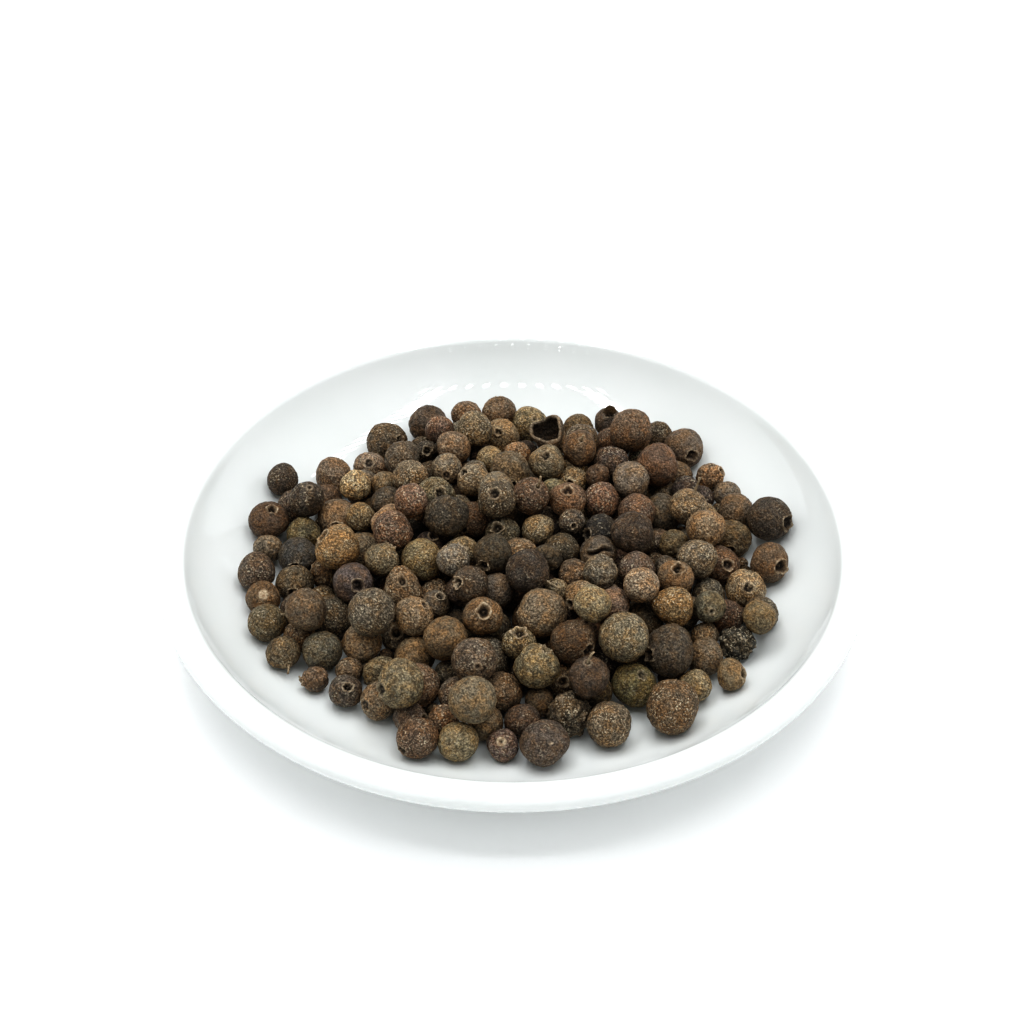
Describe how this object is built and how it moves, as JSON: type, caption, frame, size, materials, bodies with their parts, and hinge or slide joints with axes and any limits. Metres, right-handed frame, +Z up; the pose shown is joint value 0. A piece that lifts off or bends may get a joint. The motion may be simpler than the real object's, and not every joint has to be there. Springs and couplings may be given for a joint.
{
  "type": "bowl of allspice berries",
  "caption": "Shallow round white porcelain dish with a rolled rim and foot ring, holding a low heap of whole dried allspice berries",
  "frame": {"origin": "middle of the foot ring's resting face, under the middle of the dish", "axes": "+Z up, along the dish's own axis; -Y towards the viewer of the picture"},
  "size_m": [0.12, 0.12, 0.022],
  "materials": {
    "white_glaze": "gloss",
    "dried_berry": "matt, finely pimpled"
  },
  "bodies": {
    "root": {"dish": "white_glaze", "allspice_heap": "dried_berry"}
  },
  "joints": []
}
